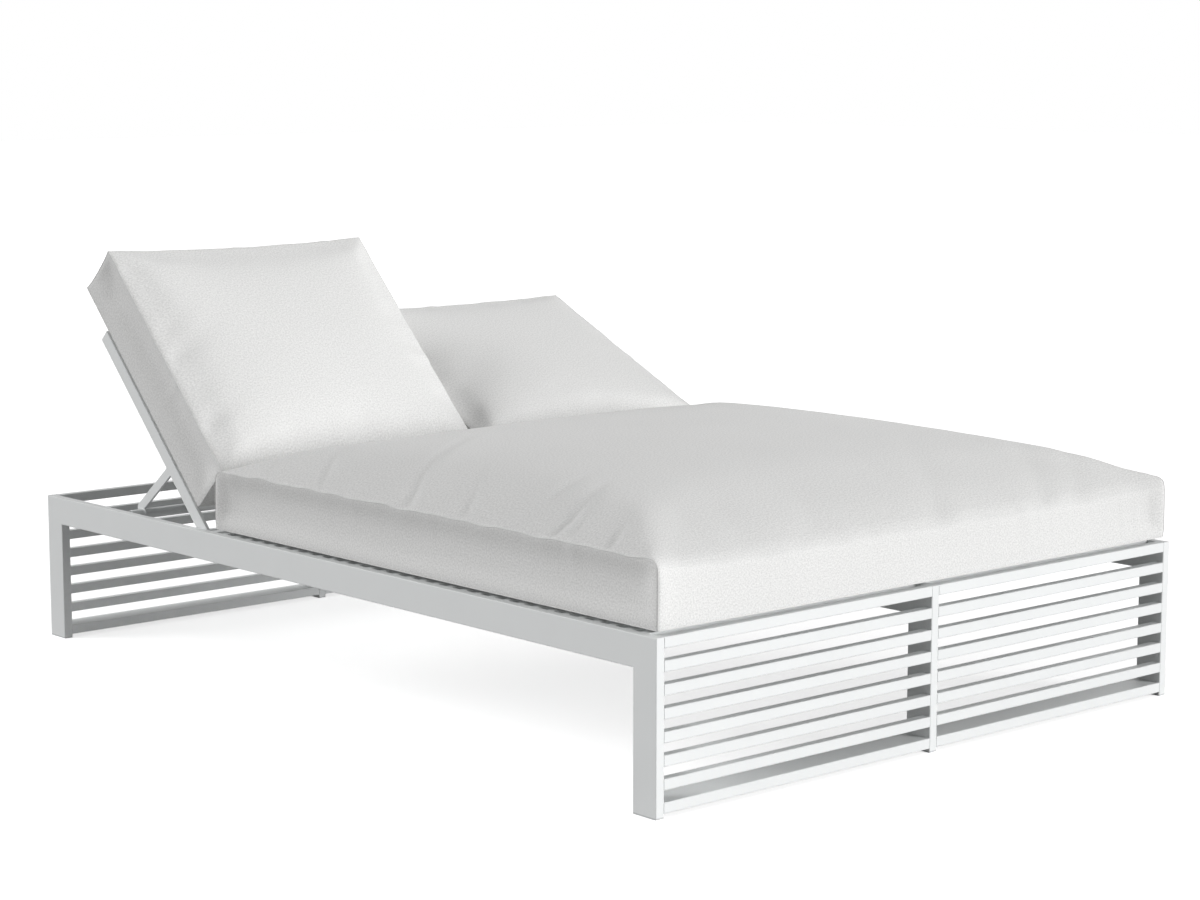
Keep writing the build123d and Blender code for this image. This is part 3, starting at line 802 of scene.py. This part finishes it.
def seen_directly(tree):
    """1 for what the camera sees itself, in a reflection or through glass, and 0 for other light"""
    rays = add(tree, "ShaderNodeLightPath").outputs
    mirrored = add(tree, "ShaderNodeMath", {
        0: rays["Is Camera Ray"], 1: rays["Is Glossy Ray"]}, operation="MAXIMUM").outputs["Value"]
    return add(tree, "ShaderNodeMath", {
        0: mirrored, 1: rays["Is Transmission Ray"]}, operation="MAXIMUM").outputs["Value"]


class LOUNGER_OT_studio(bpy.types.Operator):
    """Sets the pale floor, the soft lights and the camera"""
    bl_idname = "lounger.studio"
    bl_label = "Set the Studio"

    def execute(self, context):
        studio = context.scene.lounger_studio
        bpy.ops.object.select_all(action="DESELECT")
        bpy.ops.mesh.primitive_plane_add(size=60, location=(0, 0, 0))
        floor = context.object
        floor.name = "studio_floor"
        # Matt white paper: the camera sees it brighter than it lights the object
        paper, tree, shader = new_material(
            "Matt paper floor", Roughness=0.95, Specular_IOR_Level=0.1)
        shader.inputs["Base Color"].default_value = (*linear("#E9E9E9"), 1)
        glow = add(tree, "ShaderNodeEmission", {"Color": (1, 1, 1, 1), "Strength": 0.68})
        lit = add(tree, "ShaderNodeAddShader", {
            0: shader.outputs["BSDF"], 1: glow.outputs["Emission"]})
        dim = add(tree, "ShaderNodeBsdfDiffuse", {"Color": (*linear("#9C9C9C"), 1)})
        mix = add(tree, "ShaderNodeMixShader", {
            0: seen_directly(tree), 1: dim.outputs["BSDF"], 2: lit.outputs["Shader"]})
        tree.links.new(mix.outputs["Shader"], tree.nodes["Material Output"].inputs["Surface"])
        floor.data.materials.append(paper)

        world = bpy.data.worlds.new("studio_white")
        context.scene.world = world
        world.use_nodes = True
        tree = world.node_tree
        sky = add(tree, "ShaderNodeBackground", {
            "Color": (1, 1, 1, 1), "Strength": studio.sky_strength})
        white = add(tree, "ShaderNodeBackground", {"Color": (1, 1, 1, 1), "Strength": 1.0})
        mix = add(tree, "ShaderNodeMixShader", {
            0: seen_directly(tree), 1: sky.outputs["Background"], 2: white.outputs["Background"]})
        tree.links.new(mix.outputs["Shader"], tree.nodes["World Output"].inputs["Surface"])

        for name, strength, spread, way in (
                ("key", studio.key_strength, key_spread, key_way),
                ("fill", studio.fill_strength, fill_spread, fill_way)):
            light = bpy.data.lights.new(name, "SUN")
            light.energy = strength
            light.angle = spread
            lamp = bpy.data.objects.new(name, light)
            context.collection.objects.link(lamp)
            lamp.location = 5 * Vector(way)
            lamp.rotation_euler = Vector(way).to_track_quat("Z", "Y").to_euler()

        lens = bpy.data.cameras.new("photo_camera")
        lens.lens = studio.lens
        lens.sensor_width = 36
        lens.sensor_fit = "HORIZONTAL"
        lens.clip_end = 100
        camera = bpy.data.objects.new("photo_camera", lens)
        context.collection.objects.link(camera)
        camera.location = camera_place
        camera.rotation_euler = (pi / 2 - camera_dip, 0, -camera_turn)
        context.scene.camera = camera
        context.scene.view_settings.view_transform = "Standard"
        return {"FINISHED"}


class LOUNGER_PT_panel(bpy.types.Panel):
    """Lists the lounger's pieces and its settings"""
    bl_idname = "LOUNGER_PT_panel"
    bl_label = "Double Chaise Lounger"
    bl_space_type = "VIEW_3D"
    bl_region_type = "UI"
    bl_category = "Lounger"

    def draw(self, context):
        for group in (context.scene.lounger_finishes, context.scene.lounger_cushions,
                      context.scene.lounger_studio):
            box = self.layout.box()
            for name in group.__annotations__:
                box.prop(group, name)
        for operator in operators:
            self.layout.operator(operator.bl_idname)


operators = (LOUNGER_OT_frame_coat, LOUNGER_OT_fittings, LOUNGER_OT_seat_mattress,
             LOUNGER_OT_back_cushions, LOUNGER_OT_studio)
groups = {"lounger_finishes": LoungerFinishes, "lounger_cushions": LoungerCushions,
          "lounger_studio": LoungerStudio}


def register():
    """Registers the settings, the operators and the panel"""
    for name, group in groups.items():
        bpy.utils.register_class(group)
        setattr(bpy.types.Scene, name, PointerProperty(type=group))
    for made in (*operators, LOUNGER_PT_panel):
        bpy.utils.register_class(made)


def unregister():
    """Takes them away again"""
    for made in (LOUNGER_PT_panel, *reversed(operators)):
        bpy.utils.unregister_class(made)
    for name, group in groups.items():
        delattr(bpy.types.Scene, name)
        bpy.utils.unregister_class(group)


def main():
    """Makes every piece in order"""
    register()
    bpy.ops.lounger.frame_coat()
    bpy.ops.lounger.fittings()
    bpy.ops.lounger.seat_mattress()
    bpy.ops.lounger.back_cushions()
    bpy.ops.lounger.studio()


if __name__ == "__main__":
    main()
